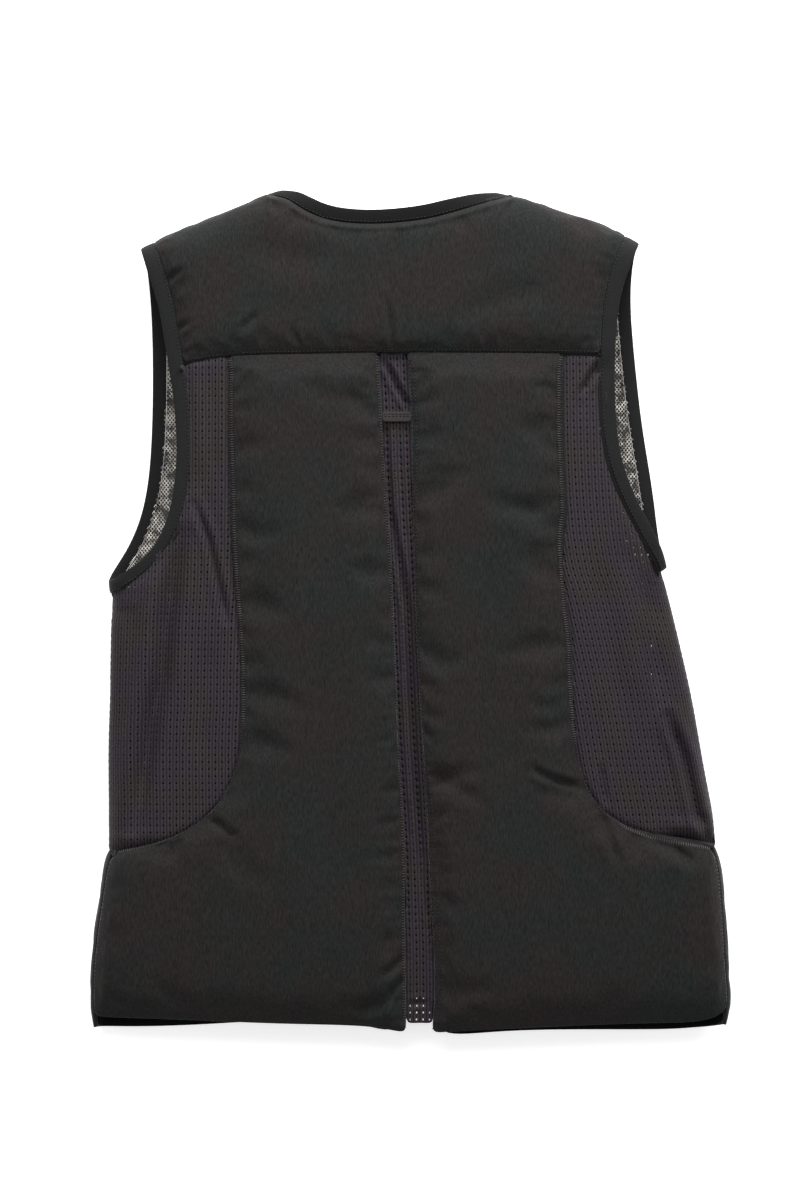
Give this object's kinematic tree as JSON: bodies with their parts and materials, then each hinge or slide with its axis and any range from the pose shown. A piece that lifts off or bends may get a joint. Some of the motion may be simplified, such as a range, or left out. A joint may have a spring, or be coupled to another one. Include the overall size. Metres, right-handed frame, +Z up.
{
  "type": "equestrian airbag vest",
  "caption": "Sleeveless padded riding vest that holds a folded air bag, with perforated knit sides, bound armholes and neck and a front zip.",
  "frame": {"origin": "centre of the base of the model's box, on the surface that the vest lies on", "axes": "+Z up, away from the surface, through the back of the vest; +Y from the hem to the neck; +X across the back"},
  "size_m": [0.5176, 0.678, 0.0458],
  "materials": {
    "pad_cloth": "matt black stretch softshell over padding",
    "knit": "perforated charcoal stretch knit",
    "binding": "black folded elastic binding, ribbed",
    "net": "silver grey open net",
    "zip": "black woven tape with moulded teeth"
  },
  "bodies": {
    "root": {"yoke": "pad_cloth", "back_pad_left": "pad_cloth", "back_pad_right": "pad_cloth", "front_panel_left": "pad_cloth", "front_panel_right": "pad_cloth", "side_knit_left": "knit", "side_knit_right": "knit", "centre_strip": "knit", "hang_tab": "binding", "armhole_binding_left": "binding", "armhole_binding_right": "binding", "neck_binding": "binding", "hem_facing_left": "binding", "hem_facing_right": "binding", "front_lining_left": "net", "front_lining_right": "net", "front_zip": "zip"}
  },
  "joints": []
}
